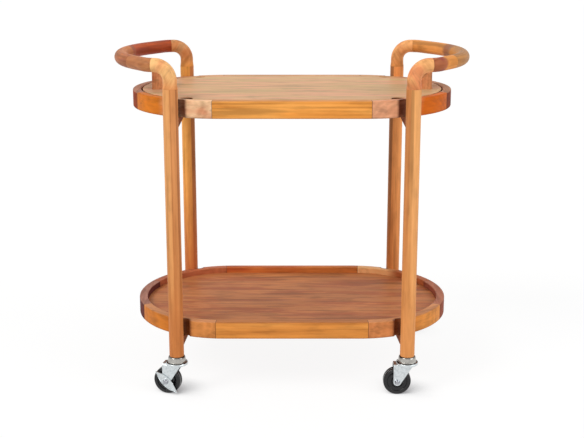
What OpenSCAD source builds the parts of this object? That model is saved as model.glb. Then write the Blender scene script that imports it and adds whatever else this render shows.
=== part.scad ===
// Two-tier bar cart: round posts, racetrack tiers built up from rail, corner and end blocks,
// bent bar handles and four swivel casters. X runs along the cart, Y from front to back,
// Z up from the floor, and the origin lies on the floor below the middle of the tiers.

/* [Tiers] */
// Length of a tier over its rim
tier_length = 757; // [720:1:800]
// Depth of a tier over its rim
tier_depth = 442; // [410:1:470]
// Width of the rim, seen from above
rim_width = 20; // [17:0.5:26]
// Height of the rim
rim_height = 40; // [36:0.5:50]
// Rounding of the rim's long edges
rim_round = 2.5; // [1:0.25:4]
// Height of the upper rim's underside above the floor
top_rim_z = 656.5; // [600:0.5:680]
// Height of the lower rim's underside above the floor
low_rim_z = 141; // [136:0.5:200]
// Part of the end curve that each straight rail keeps, in degrees
rail_arc = 5; // [3:0.5:8]
// Part of the end curve that each corner block takes, in degrees
corner_arc = 60; // [54:0.5:66]
// Glue line between two blocks of a rim
glue_gap = 0.1; // [0.05:0.05:0.2]

/* [Panels] */
// Thickness of the lift-out top panel
panel_thick = 16; // [12:0.5:18]
// Gap round the lift-out top panel
panel_gap = 3; // [2:0.25:4]
// Rounding of the panel's edges
panel_round = 1.5; // [0.5:0.25:2.5]
// Radius of a finger notch in the top panel's edge
notch_r = 17; // [14:0.5:20]
// Place of a finger notch on the end curve, in degrees from the long axis
notch_angle = 66; // [62:0.5:72]
// Length of a lift grip on the top panel
grip_length = 83; // [70:1:110]
// Width of a lift grip
grip_width = 25; // [18:0.5:30]
// Height of a lift grip above the panel
grip_height = 44; // [36:0.5:48]
// Rounding of a lift grip's corners
grip_round = 6; // [3:0.5:9]
// Length of the finger hole under a lift grip
grip_hole_length = 50; // [40:1:60]
// Height of the finger hole under a lift grip
grip_hole_height = 24; // [18:0.5:28]
// Distance from the panel's end to a lift grip
grip_inset = 25.5; // [15:0.5:40]
// Depth to which a lift grip's feet are let into the panel
grip_seat = 2; // [1:0.5:4]
// Thickness of the lower floor
floor_thick = 12; // [9:0.5:14]
// Depth of the lower floor's surface below its rim
floor_drop = 14.5; // [10:0.5:16]
// Gap round the lower floor
floor_gap = 0.5; // [0.2:0.1:1]
// Width of a ledge strip under a panel
ledge_width = 14; // [12:0.5:20]
// Height of a ledge strip
ledge_height = 12; // [9:0.5:13]
// Length of a straight ledge strip
ledge_length = 300; // [200:5:310]
// Angle that a curved ledge strip covers
ledge_arc = 84; // [60:2:90]

/* [Posts] */
// Diameter of a post
post_d = 34; // [30:0.5:40]
// Place of a post on the end curve, in degrees from the long axis
post_angle = 61.3; // [58:0.1:64]
// Depth to which a post is let into the rim
post_let_in = 5; // [3:0.25:7]
// Clearance round a post in its notch
post_clear = 0.3; // [0.1:0.05:0.5]
// Height of the posts' lower ends above the floor
post_foot_z = 94.5; // [94.5:0.5:120]
// Radius of the scoop in the rim beside a post
scoop_r = 13; // [9:0.5:14]
// Bite of the scoop into the rim
scoop_bite = 9; // [5:0.5:9.5]
// Distance from a post's centre to the scoop's centre, along the rim
scoop_offset = 17; // [15:0.5:22]
// Width of a corbel under the rim
corbel_width = 26; // [20:0.5:28]
// Height of a corbel
corbel_height = 22; // [16:0.5:26]

/* [Handles] */
// Height of the handle bar's centre line above the top of the tier
handle_rise = 76.5; // [68:0.5:100]
// Diameter of the handle bar
handle_d = 31.5; // [28:0.5:34]
// Bend radius of an elbow, on its centre line
elbow_r = 34; // [30:0.5:40]
// Straight length of an elbow above its post
elbow_rise = 18; // [14:0.5:22]
// Length of the taper from post to handle bar
elbow_taper = 10; // [6:0.5:12]
// Straight length of an elbow after its bend
elbow_lead = 6; // [4:0.5:9]
// Angle by which an elbow turns in from the long axis
elbow_turn = 12.5; // [8:0.5:18]
// Bend radius of the shoulder after an elbow
shoulder_r = 32; // [28:0.5:44]
// Distance from the rim's face to the handle bar's centre line at the ends
bow_reach = 24.5; // [20:0.5:32]
// Place of the joint in the bow, in degrees behind the long axis
bow_joint = 16; // [8:0.5:24]

/* [Fasteners] */
// Diameter of a dowel in a rim joint
rim_dowel_d = 8; // [6:0.5:9]
// Length of a dowel in a rim joint
rim_dowel_length = 30; // [24:1:36]
// Distance between the two dowels of a rim joint
rim_dowel_pitch = 18; // [14:0.5:22]
// Diameter of a dowel between a post and its elbow
post_dowel_d = 12; // [10:0.5:14]
// Length of a dowel between a post and its elbow
post_dowel_length = 34; // [26:1:34]
// Diameter of a dowel between two lengths of handle bar
bar_dowel_d = 10; // [8:0.5:12]
// Length of a dowel between two lengths of handle bar
bar_dowel_length = 22; // [18:1:26]
// Clearance round a dowel or an insert, on the radius
dowel_clear = 0.05; // [0.02:0.01:0.1]
// Diameter of a tier bolt
bolt_d = 6; // [5:0.5:7]
// Diameter of a tier bolt's head
bolt_head_d = 11; // [10:0.5:12]
// Height of a tier bolt's head
bolt_head_h = 4; // [3:0.25:5]
// Height of a tier bolt above the rim's underside
bolt_rise = 11; // [10:0.5:14]
// Depth of the recess for a bolt's head
bolt_recess = 6; // [5:0.25:7]
// Outer diameter of a threaded insert
insert_d = 10; // [9:0.5:11]
// Length of a threaded insert
insert_length = 13; // [10:0.5:14]

/* [Casters] */
// Diameter of a caster wheel
wheel_d = 65; // [55:0.5:65]
// Width of a caster wheel's tread
wheel_width = 20; // [16:0.5:24]
// Offset of the wheel's axle behind the swivel axis
caster_trail = 23; // [18:0.5:26]
// Turn of the front left caster at rest
front_left_turn = 15; // [0:1:25]
// Thickness of the fork's sheet steel
fork_thick = 2.2; // [1.8:0.1:2.6]
// Radius of the fork's crown
crown_r = 26; // [24:0.5:28]
// Height of the fork crown's underside above the floor
crown_z = 74; // [72:0.5:75]
// Width of the fork's top ahead of the swivel axis
fork_front = 15; // [10:0.5:18]
// Radius of the fork's end round the axle
fork_end_r = 9; // [7.5:0.25:10]
// Radius of the cup above the fork
cup_r = 22; // [20:0.5:23]
// Diameter of the stem driven into the post
stem_d = 11; // [9:0.5:12]
// Length of the stem in the post
stem_length = 38; // [30:1:40]
// Diameter of the swivel pin
king_d = 10; // [8:0.5:10.5]
// Diameter of the axle bolt
axle_d = 8; // [6:0.5:9]
// Radial clearance of a turning fit
turn_clear = 0.08; // [0.04:0.01:0.1]
// Gap between faces that slide or turn past each other
run_gap = 0.3; // [0.2:0.05:0.4]
// Diameter of a bearing ball in the swivel
ball_d = 4; // [3:0.25:4]
// Number of balls in a swivel
ball_count = 14; // [8:1:16]
// Length of a brake lever from its pivot to the tip's centre
lever_reach = 34.5; // [34:0.5:36]
// Length of a brake lever from its pivot to the centre of its other tip
lever_tail = 31.5; // [28:0.5:34]
// Half width of a brake lever at its pivot
lever_half = 11; // [9:0.25:12]
// Thickness of a brake lever
lever_thick = 2; // [1.5:0.1:2.5]
// Slope of a brake lever at rest
lever_slope = 43.6; // [36:0.2:46]

/* [Hidden] */
$fn = 96;
RIGHT = 1;
LEFT = -1;
BACK = 1;
FRONT = -1;
round_steps = 3;

// Plan of a tier: two half circles of tier_r about [+-end_x, 0] joined by straight rails
tier_r = tier_depth / 2;
end_x = tier_length / 2 - tier_r;
rim_mid_r = tier_r - rim_width / 2;
rim_in_r = tier_r - rim_width;
glue_angle = glue_turn(rim_mid_r);
rail_joint = 90 - rail_arc;
end_joint = rail_joint - corner_arc;
top_z = top_rim_z + rim_height;
handle_z = top_z + handle_rise;
tier_levels = [low_rim_z, top_rim_z];

// Posts stand round the end curves, in a notch of the corner blocks
post_rad = tier_r + post_d / 2 - post_let_in;
post_x = end_x + post_rad * cos(post_angle);
post_y = post_rad * sin(post_angle);
face_in = post_rad - tier_r;
scoop_in = face_in + scoop_bite - scoop_r;
post_top_z = handle_z - elbow_r - elbow_rise;

// Centre line of a handle in plan, worked out for the back right corner
bow_r = tier_r + bow_reach;
elbow_out = [cos(elbow_turn), -sin(elbow_turn)];
arm_start = [post_x, post_y] + elbow_out * (elbow_r + elbow_lead);
shoulder_c = arm_start - shoulder_r * [sin(elbow_turn), cos(elbow_turn)];
bow_c = [end_x, 0];
to_bow = bow_c - shoulder_c;
arm_turn = atan2(-to_bow.y, to_bow.x) - asin((bow_r - shoulder_r) / norm(to_bow));
arm_out = [cos(arm_turn), -sin(arm_turn)];
arm_length = to_bow * arm_out;
bow_end = 90 - arm_turn;
bow_stub = 2;
front_joint = bow_end - bow_stub;

// Panels
panel_r = rim_in_r - panel_gap;
panel_z = top_z - panel_thick;
grip_x = end_x + panel_r - grip_inset - grip_width / 2;
floor_r = rim_in_r - floor_gap;
floor_round = 0.5;
floor_z = low_rim_z + rim_height - floor_drop - floor_thick;
ledge_out_r = rim_in_r - floor_gap;
ledge_in_r = ledge_out_r - ledge_width;

// Tier bolts, on the line from a post's centre to the end curve's centre
bolt_hole_d = bolt_d + 0.4;
bolt_sink_d = bolt_head_d + 1;
bolt_seat = face_in + rim_width - bolt_recess;
insert_sink = 1;
bolt_tip = post_d / 2 - insert_sink - insert_length;
corbel_in = face_in + rim_width;
corbel_tip = sqrt(pow(post_d / 2, 2) - pow(corbel_width / 2, 2));
corbel_nose = 2;

// Casters
wheel_r = wheel_d / 2;
hub_half = wheel_width / 2 + 2;
leg_in = hub_half + run_gap;
leg_out = leg_in + fork_thick;
crown_top = crown_z + fork_thick;
king_head_r = king_d / 2 + 4;
king_head_h = 3;
cup_floor_z = crown_top + ball_d + 2 * turn_clear;
cup_plate = 2;
cup_lip_z = crown_top + ball_d - 0.6;
ball_ring_r = (king_d / 2 + cup_r) / 2 + 1;
axle_head_h = 4.5;
axle_head_d = 13;
axle_tail = 2;
nut_across = 1.6 * axle_d;
lever_in = leg_out + run_gap;
lever_out = lever_in + lever_thick;
lever_tip_r = 2.25;
shoe_width = 9;

// Rounded outer side of a section, from its lower to its upper corner
function side_points(x, h, r) = concat(
    [for (i = [0:round_steps]) let (t = 90 * i / round_steps - 90)
        [x - r + r * cos(t), r + r * sin(t)]],
    [for (i = [0:round_steps]) let (t = 90 * i / round_steps)
        [x - r + r * cos(t), h - r + r * sin(t)]]);

// The same side turned over, from its upper to its lower corner
function far_side_points(x, h, r) = let (p = side_points(0, h, r))
    [for (i = [len(p) - 1:-1:0]) [x - p[i].x, p[i].y]];

// Children drawn for the back right corner, shown at the corner that is asked for
module at_corner(side, end) {
    mirror([side < 0 ? 1 : 0, 0, 0])
        mirror([0, end < 0 ? 1 : 0, 0])
            children();
}

// Children drawn at a post's centre, +X away from the end curve's centre
module at_post() {
    translate([post_x, post_y, 0])
        rotate([0, 0, post_angle])
            children();
}

// Children drawn along +Z, laid along -X from the centre of a post
module inward(z) {
    translate([0, 0, z])
        rotate([0, -90, 0])
            children();
}

module rim_section() {
    polygon(concat(side_points(tier_r, rim_height, rim_round),
        far_side_points(rim_in_r, rim_height, rim_round)));
}

// Stretch of a rim's end curve between two angles
module rim_arc(from, to) {
    translate([end_x, 0, 0])
        rotate([0, 0, from])
            rotate_extrude(angle = to - from)
                rim_section();
}

// Half of a rail: its straight run from X = 0 and the first few degrees of the end curve
module rail_half() {
    difference() {
        union() {
            rotate([90, 0, 90])
                linear_extrude(end_x)
                    rim_section();
            translate([end_x, 0, 0])
                mirror([1, 0, 0])
                    rotate([0, 0, 90])
                        rotate_extrude(angle = rail_arc - glue_angle)
                            rim_section();
        }
        joint_dowels(rail_joint, dowel_clear);
    }
}

// Dowels of one rim joint, grown by a clearance
module joint_dowels(angle, clear) {
    translate([end_x, 0, 0])
        rotate([0, 0, angle])
            translate([rim_mid_r, 0, rim_height / 2])
                for (side = [-1, 1])
                    translate([0, 0, side * rim_dowel_pitch / 2])
                        rotate([90, 0, 0])
                            cylinder(d = rim_dowel_d + 2 * clear,
                                h = rim_dowel_length + 2 * clear, center = true);
}

module rail(end, level) {
    color("peru")
        translate([0, 0, level])
            for (side = [LEFT, RIGHT])
                at_corner(side, end)
                    rail_half();
}

module end_block(side, level) {
    color("sienna")
        translate([0, 0, level])
            at_corner(side, BACK)
                difference() {
                    rim_arc(glue_angle - end_joint, end_joint - glue_angle);
                    joint_dowels(end_joint, dowel_clear);
                    joint_dowels(-end_joint, dowel_clear);
                }
}

// Corner block with the post's notch, the scoop beside it and the bolt's hole
module corner_block(side, end, level) {
    color("tan")
        translate([0, 0, level])
            at_corner(side, end)
                difference() {
                    rim_arc(end_joint + glue_angle, rail_joint - glue_angle);
                    joint_dowels(rail_joint, dowel_clear);
                    joint_dowels(end_joint, dowel_clear);
                    at_post() {
                        translate([0, 0, -1])
                            cylinder(d = post_d + 2 * post_clear, h = rim_height + 2);
                        translate([-scoop_in, scoop_offset, -1])
                            cylinder(r = scoop_r, h = rim_height + 2);
                        inward(bolt_rise) {
                            cylinder(d = bolt_hole_d, h = corbel_in + 1);
                            translate([0, 0, bolt_seat])
                                cylinder(d = bolt_sink_d, h = bolt_recess + 2);
                        }
                    }
                }
}

// Racetrack slab with rounded edges, its straight part and two half round ends
module slab(r, thick, edge) {
    outer = side_points(r, thick, edge);
    rotate([90, 0, 90])
        linear_extrude(2 * end_x, center = true)
            polygon(concat(outer, far_side_points(-r, thick, edge)));
    for (side = [LEFT, RIGHT])
        at_corner(side, BACK)
            translate([end_x, 0, 0])
                rotate([0, 0, -90])
                    rotate_extrude(angle = 180)
                        polygon(concat([[0, 0]], outer, [[0, thick]]));
}

module top_panel() {
    color("burlywood")
        translate([0, 0, panel_z])
            difference() {
                slab(panel_r, panel_thick, panel_round);
                for (side = [LEFT, RIGHT], end = [FRONT, BACK])
                    at_corner(side, end)
                        translate([end_x + panel_r * cos(notch_angle),
                                panel_r * sin(notch_angle), -1])
                            cylinder(r = notch_r, h = panel_thick + 2);
                for (side = [LEFT, RIGHT])
                    translate([side * grip_x, 0, panel_thick - grip_seat - glue_gap])
                        linear_extrude(grip_seat + glue_gap + 1)
                            grip_feet(glue_gap);
            }
}

// Rectangle with round corners, about the origin
module round_plate(x, y, r) {
    square([x - 2 * r, y], center = true);
    square([x, y - 2 * r], center = true);
    for (i = [-1, 1], j = [-1, 1])
        translate([i * (x / 2 - r), j * (y / 2 - r)])
            circle(r);
}

// Outline of a lift grip's two feet, grown by a clearance
module grip_feet(clear) {
    difference() {
        round_plate(grip_width + 2 * clear, grip_length + 2 * clear, grip_round + clear);
        square([grip_width + 2, grip_hole_length - 2 * clear], center = true);
    }
}

// Two arched grips let into the top panel, one near each end
module panel_grips() {
    color("peru")
        for (side = [LEFT, RIGHT])
            translate([side * grip_x, 0, top_z])
                intersection() {
                    translate([0, 0, -grip_seat])
                        linear_extrude(grip_seat + grip_height)
                            round_plate(grip_width, grip_length, grip_round);
                    rotate([90, 0, 90])
                        linear_extrude(grip_width + 2, center = true)
                            difference() {
                                round_plate(grip_length, 2 * grip_height, grip_round);
                                round_plate(grip_hole_length, 2 * grip_hole_height, grip_round);
                            }
                }
}

module lower_floor() {
    color("rosybrown")
        translate([0, 0, floor_z])
            slab(floor_r, floor_thick, floor_round);
}

// Four ledge strips that carry a panel: two straight ones and two curved ones
module ledges(under, gap) {
    color("saddlebrown")
        translate([0, 0, under - gap - ledge_height]) {
            for (end = [FRONT, BACK])
                at_corner(RIGHT, end)
                    translate([-ledge_length / 2, ledge_in_r, 0])
                        cube([ledge_length, ledge_width, ledge_height]);
            for (side = [LEFT, RIGHT])
                at_corner(side, BACK)
                    translate([end_x, 0, 0])
                        rotate([0, 0, -ledge_arc / 2])
                            rotate_extrude(angle = ledge_arc)
                                translate([ledge_in_r, 0])
                                    square([ledge_width, ledge_height]);
        }
}

// Four wedges under a rim, each from its post to the rim's inner face
module corbels(level) {
    color("saddlebrown")
        for (side = [LEFT, RIGHT], end = [FRONT, BACK])
            at_corner(side, end)
                at_post()
                    difference() {
                        translate([0, corbel_width / 2, level])
                            rotate([90, 0, 0])
                                linear_extrude(corbel_width)
                                    polygon([[0, 0], [-corbel_in, 0], [-corbel_in, -corbel_nose],
                                        [-corbel_tip, -corbel_height], [0, -corbel_height]]);
                        translate([0, 0, level - corbel_height - 1])
                            cylinder(d = post_d + 2 * post_clear, h = corbel_height + 2);
                    }
}

module post_dowel(clear) {
    cylinder(d = post_dowel_d + 2 * clear, h = post_dowel_length + 2 * clear, center = true);
}

module post(side, end) {
    color("sandybrown")
        at_corner(side, end)
            at_post()
                difference() {
                    translate([0, 0, post_foot_z])
                        cylinder(d = post_d, h = post_top_z - post_foot_z);
                    translate([0, 0, post_foot_z - 1])
                        cylinder(d = stem_d + 2 * dowel_clear, h = stem_length + 2);
                    translate([0, 0, post_top_z])
                        post_dowel(dowel_clear);
                    for (level = tier_levels)
                        inward(level + bolt_rise)
                            translate([0, 0, bolt_tip - 1])
                                cylinder(d = insert_d + 2 * dowel_clear, h = post_d);
                }
}

// Angle of half a glue line on a bend of radius r
function glue_turn(r) = glue_gap / 2 / r * 180 / PI;

module tube_arc(r, angle) {
    rotate_extrude(angle = angle)
        translate([r, 0])
            circle(d = handle_d);
}

// Children drawn at the joint between elbow and arm, +Z along the bar
module at_arm_start() {
    translate([arm_start.x, arm_start.y, handle_z])
        rotate([0, 90, -elbow_turn])
            children();
}

// Children drawn at a joint in the bow, +Z along the bar
module at_bow_joint(angle) {
    translate([bow_c.x, bow_c.y, handle_z])
        rotate([90, 0, angle])
            translate([bow_r, 0, 0])
                children();
}

// Joint between elbow and arm is square to the bar, as are the two joints in the bow
module elbow(side, end) {
    color("orange")
        at_corner(side, end)
            difference() {
                translate([post_x, post_y, handle_z - elbow_r])
                    rotate([0, 0, -elbow_turn]) {
                        translate([0, 0, -elbow_rise])
                            cylinder(d1 = post_d, d2 = handle_d, h = elbow_taper);
                        translate([0, 0, elbow_taper - elbow_rise])
                            cylinder(d = handle_d, h = elbow_rise - elbow_taper);
                        translate([elbow_r, 0, 0])
                            rotate([90, 0, 0])
                                rotate([0, 0, 90])
                                    tube_arc(elbow_r, 90);
                        translate([elbow_r, 0, elbow_r])
                            rotate([0, 90, 0])
                                cylinder(d = handle_d, h = elbow_lead - glue_gap / 2);
                    }
                translate([post_x, post_y, post_top_z])
                    post_dowel(dowel_clear);
                at_arm_start()
                    bar_dowel(dowel_clear);
            }
}

// Dowel between two lengths of handle bar
module bar_dowel(clear) {
    cylinder(d = bar_dowel_d + 2 * clear, h = bar_dowel_length + 2 * clear, center = true);
}

// Shoulder, straight arm and the bow up to its joint, along +X from the shoulder's centre
module arm_bar(bow_part) {
    rotate([0, 0, 90])
        tube_arc(shoulder_r, arm_turn - elbow_turn - glue_turn(shoulder_r));
    translate([0, shoulder_r, 0])
        rotate([0, 90, 0])
            cylinder(d = handle_d, h = arm_length);
    translate([arm_length, shoulder_r - bow_r, 0])
        mirror([1, 0, 0])
            rotate([0, 0, 90])
                tube_arc(bow_r, bow_part - glue_turn(bow_r));
}

module handle_arm(side, end) {
    joint = end == BACK ? bow_joint : front_joint;
    color(end == BACK ? "brown" : "chocolate")
        at_corner(side, end)
            difference() {
                translate([shoulder_c.x, shoulder_c.y, handle_z])
                    rotate([0, 0, -arm_turn])
                        arm_bar(bow_end - joint);
                at_arm_start()
                    bar_dowel(dowel_clear);
                at_bow_joint(joint)
                    bar_dowel(dowel_clear);
            }
}

// Bow between the joint in the back half and the joint at the front arm
module handle_bend(side) {
    glue = glue_turn(bow_r);
    color("chocolate")
        at_corner(side, BACK)
            difference() {
                translate([bow_c.x, bow_c.y, handle_z])
                    rotate([0, 0, glue - front_joint])
                        tube_arc(bow_r, bow_joint + front_joint - 2 * glue);
                for (joint = [-front_joint, bow_joint])
                    at_bow_joint(joint)
                        bar_dowel(dowel_clear);
            }
}

module frame_dowels() {
    color("wheat")
        for (side = [LEFT, RIGHT], end = [FRONT, BACK])
            at_corner(side, end) {
                translate([post_x, post_y, post_top_z])
                    post_dowel(0);
                at_arm_start()
                    bar_dowel(0);
                at_bow_joint(end == BACK ? bow_joint : front_joint)
                    bar_dowel(0);
            }
}

module rim_dowels() {
    color("wheat")
        for (level = tier_levels, side = [LEFT, RIGHT], end = [FRONT, BACK])
            translate([0, 0, level])
                at_corner(side, end)
                    for (angle = [rail_joint, end_joint])
                        joint_dowels(angle, 0);
}

module at_tier_bolts() {
    for (level = tier_levels, side = [LEFT, RIGHT], end = [FRONT, BACK])
        at_corner(side, end)
            at_post()
                inward(level + bolt_rise)
                    children();
}

// Socket head bolts from the rim's inner face into the posts
module tier_bolts() {
    color("silver")
        at_tier_bolts()
            difference() {
                union() {
                    translate([0, 0, bolt_tip])
                        cylinder(d = bolt_d, h = bolt_seat - bolt_tip);
                    translate([0, 0, bolt_seat])
                        cylinder(d = bolt_head_d, h = bolt_head_h);
                }
                translate([0, 0, bolt_seat + bolt_head_h / 2])
                    cylinder(d = bolt_head_d / 2, h = bolt_head_h, $fn = 6);
            }
}

module threaded_inserts() {
    color("gold")
        at_tier_bolts()
            translate([0, 0, bolt_tip])
                difference() {
                    cylinder(d = insert_d, h = insert_length);
                    translate([0, 0, -1])
                        cylinder(d = bolt_d + 2 * dowel_clear, h = insert_length + 2);
                }
}

// Children drawn with the swivel axis on Z and the wheel behind it on -X
module at_caster(side, end, turn) {
    translate([side * post_x, end * post_y, 0])
        rotate([0, 0, turn])
            children();
}

// Fixed half of a caster: stem, domed cup and swivel pin with its riveted head
module caster_stem(side, end) {
    king_r = king_d / 2;
    stem_r = stem_d / 2;
    head_z = crown_z - run_gap;
    color("silver")
        at_caster(side, end, 0)
            rotate_extrude()
                polygon([[0, head_z - king_head_h], [king_head_r - 1, head_z - king_head_h],
                    [king_head_r, head_z - king_head_h + 1], [king_head_r, head_z],
                    [king_r, head_z], [king_r, cup_floor_z], [cup_r - cup_plate, cup_floor_z],
                    [cup_r - cup_plate, cup_lip_z], [cup_r - 0.5, cup_lip_z],
                    [cup_r, cup_lip_z + 0.6], [cup_r, cup_floor_z + 3],
                    [cup_r - 1.2, cup_floor_z + 6], [cup_r - 3.5, post_foot_z - 2.2],
                    [cup_r - 5.5, post_foot_z - 0.4], [cup_r - 6.5, post_foot_z],
                    [stem_r, post_foot_z], [stem_r, post_foot_z + stem_length - 2],
                    [stem_r - 1.5, post_foot_z + stem_length], [0, post_foot_z + stem_length]]);
}

// One cheek of the fork, from the crown down to a round end about the axle
module fork_leg() {
    end_c = [-caster_trail, wheel_r];
    top_right = [fork_front, crown_top];
    span = top_right - end_c;
    tangent = atan2(span.y, span.x) - acos(fork_end_r / norm(span));
    rotate([90, 0, 0])
        linear_extrude(fork_thick, center = true)
            difference() {
                union() {
                    translate(end_c)
                        circle(r = fork_end_r);
                    polygon([[end_c.x - fork_end_r, end_c.y],
                        end_c + fork_end_r * [cos(tangent), sin(tangent)],
                        top_right, [end_c.x - fork_end_r, crown_top]]);
                }
                translate(end_c)
                    circle(d = axle_d + 2 * dowel_clear);
            }
}

// Swivelling half of a caster: crown with its raised rim, and two cheeks
module caster_fork(side, end, turn) {
    cheek_back = -caster_trail - fork_end_r;
    color("gainsboro")
        at_caster(side, end, turn)
            difference() {
                union() {
                    translate([0, 0, crown_z])
                        cylinder(r = crown_r, h = fork_thick);
                    translate([cheek_back, -leg_out, crown_z])
                        cube([fork_front - cheek_back, 2 * leg_out, fork_thick]);
                    translate([0, 0, crown_top])
                        difference() {
                            cylinder(r1 = crown_r, r2 = crown_r - 1, h = ball_d - 1);
                            translate([0, 0, -1])
                                cylinder(r = cup_r + 2, h = ball_d + 2);
                        }
                    for (cheek = [-1, 1])
                        translate([0, cheek * (leg_in + fork_thick / 2), 0])
                            fork_leg();
                }
                translate([0, 0, crown_z - 1])
                    cylinder(d = king_d + 2 * turn_clear, h = fork_thick + 2);
            }
}

// Axle bolt with its head on the -Y side and its nut on the +Y side
module caster_axle(side, end, turn, braked) {
    head_at = braked ? lever_out + run_gap : leg_out;
    nut_at = leg_out + axle_head_h;
    color("silver")
        at_caster(side, end, turn)
            translate([-caster_trail, 0, wheel_r])
                rotate([90, 0, 0]) {
                    translate([0, 0, -nut_at - axle_tail])
                        cylinder(d = axle_d, h = nut_at + axle_tail + head_at);
                    translate([0, 0, head_at])
                        cylinder(d1 = axle_head_d, d2 = axle_head_d - 4, h = axle_head_h);
                    translate([0, 0, -nut_at])
                        cylinder(d = nut_across, h = axle_head_h, $fn = 6);
                }
}

// Wheel with a rounded tread, dished faces and a hub
module caster_wheel(side, end, turn) {
    half = wheel_width / 2;
    bore_r = axle_d / 2 + turn_clear;
    dish_r = wheel_r - 8;
    hub_r = axle_d / 2 + 5;
    outer = [[bore_r, hub_half], [hub_r, hub_half], [hub_r + 1, half - 3], [dish_r - 1.5, half - 3],
        [dish_r, half], [wheel_r - 3, half], [wheel_r - 1.2, half - 0.9],
        [wheel_r - 0.3, half - 2.4], [wheel_r, half - 4.5]];
    other = [for (i = [len(outer) - 1:-1:0]) [outer[i].x, -outer[i].y]];
    color("black")
        at_caster(side, end, turn)
            translate([-caster_trail, 0, wheel_r])
                rotate([90, 0, 0])
                    rotate_extrude()
                        polygon(concat(outer, other));
}

// Leaf outline of a brake lever
module lever_leaf() {
    half_span = (lever_reach + lever_tail) / 2;
    edge_r = (half_span ^ 2 + lever_half ^ 2) / (2 * lever_half);
    intersection_for(edge = [-1, 1])
        translate([lever_reach - half_span, edge * (edge_r - lever_half)])
            circle(r = edge_r);
    for (tip = [-lever_tail, lever_reach])
        translate([tip, 0])
            circle(r = lever_tip_r);
}

// Side lever about the axle, with a folded shoe that reaches over the tread
module brake_lever(side, end, turn) {
    color("lightgray")
        at_caster(side, end, turn)
            translate([-caster_trail, 0, wheel_r])
                rotate([90, 0, 0])
                    rotate([0, 0, -lever_slope])
                        difference() {
                            translate([0, 0, lever_in]) {
                                linear_extrude(lever_thick)
                                    lever_leaf();
                                translate([lever_reach, -lever_tip_r, -shoe_width])
                                    cube([lever_thick, 2 * lever_tip_r, shoe_width + lever_thick]);
                            }
                            cylinder(r = axle_d / 2 + turn_clear, h = lever_out + 1);
                        }
}

// Ring of bearing balls in each swivel
module swivel_balls() {
    color("silver")
        for (side = [LEFT, RIGHT], end = [FRONT, BACK])
            at_caster(side, end, 0)
                for (i = [0:ball_count - 1])
                    rotate([0, 0, 360 * i / ball_count])
                        translate([ball_ring_r, 0, crown_top + turn_clear + ball_d / 2])
                            sphere(d = ball_d, $fn = 32);
}

post(LEFT, FRONT);  // post_front_left
post(RIGHT, FRONT);  // post_front_right
post(LEFT, BACK);  // post_back_left
post(RIGHT, BACK);  // post_back_right
elbow(LEFT, FRONT);  // elbow_front_left
elbow(RIGHT, FRONT);  // elbow_front_right
elbow(LEFT, BACK);  // elbow_back_left
elbow(RIGHT, BACK);  // elbow_back_right
handle_arm(LEFT, FRONT);  // handle_left_front_arm
handle_bend(LEFT);  // handle_left_bend
handle_arm(LEFT, BACK);  // handle_left_back_arm
handle_arm(RIGHT, FRONT);  // handle_right_front_arm
handle_bend(RIGHT);  // handle_right_bend
handle_arm(RIGHT, BACK);  // handle_right_back_arm
rail(FRONT, top_rim_z);  // top_rail_front
rail(BACK, top_rim_z);  // top_rail_back
end_block(LEFT, top_rim_z);  // top_end_left
end_block(RIGHT, top_rim_z);  // top_end_right
corner_block(LEFT, FRONT, top_rim_z);  // top_corner_front_left
corner_block(RIGHT, FRONT, top_rim_z);  // top_corner_front_right
corner_block(LEFT, BACK, top_rim_z);  // top_corner_back_left
corner_block(RIGHT, BACK, top_rim_z);  // top_corner_back_right
rail(FRONT, low_rim_z);  // lower_rail_front
rail(BACK, low_rim_z);  // lower_rail_back
end_block(LEFT, low_rim_z);  // lower_end_left
end_block(RIGHT, low_rim_z);  // lower_end_right
corner_block(LEFT, FRONT, low_rim_z);  // lower_corner_front_left
corner_block(RIGHT, FRONT, low_rim_z);  // lower_corner_front_right
corner_block(LEFT, BACK, low_rim_z);  // lower_corner_back_left
corner_block(RIGHT, BACK, low_rim_z);  // lower_corner_back_right
top_panel();
panel_grips();
lower_floor();
ledges(panel_z, run_gap);  // top_ledges
ledges(floor_z, 0);  // lower_ledges
corbels(top_rim_z);  // top_corbels
corbels(low_rim_z);  // lower_corbels
tier_bolts();
threaded_inserts();
frame_dowels();
rim_dowels();
swivel_balls();
caster_stem(LEFT, FRONT);  // caster_front_left_stem
caster_fork(LEFT, FRONT, -front_left_turn);  // caster_front_left_fork
caster_axle(LEFT, FRONT, -front_left_turn, true);  // caster_front_left_axle
caster_wheel(LEFT, FRONT, -front_left_turn);  // caster_front_left_wheel
brake_lever(LEFT, FRONT, -front_left_turn);  // brake_lever_front_left
caster_stem(RIGHT, FRONT);  // caster_front_right_stem
caster_fork(RIGHT, FRONT, 0);  // caster_front_right_fork
caster_axle(RIGHT, FRONT, 0, false);  // caster_front_right_axle
caster_wheel(RIGHT, FRONT, 0);  // caster_front_right_wheel
caster_stem(LEFT, BACK);  // caster_back_left_stem
caster_fork(LEFT, BACK, 0);  // caster_back_left_fork
caster_axle(LEFT, BACK, 0, false);  // caster_back_left_axle
caster_wheel(LEFT, BACK, 0);  // caster_back_left_wheel
caster_stem(RIGHT, BACK);  // caster_back_right_stem
caster_fork(RIGHT, BACK, 180);  // caster_back_right_fork
caster_axle(RIGHT, BACK, 180, true);  // caster_back_right_axle
caster_wheel(RIGHT, BACK, 180);  // caster_back_right_wheel
brake_lever(RIGHT, BACK, 180);  // brake_lever_back_right
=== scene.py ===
import math

import bmesh
import bpy
from mathutils import Matrix, Vector


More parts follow.
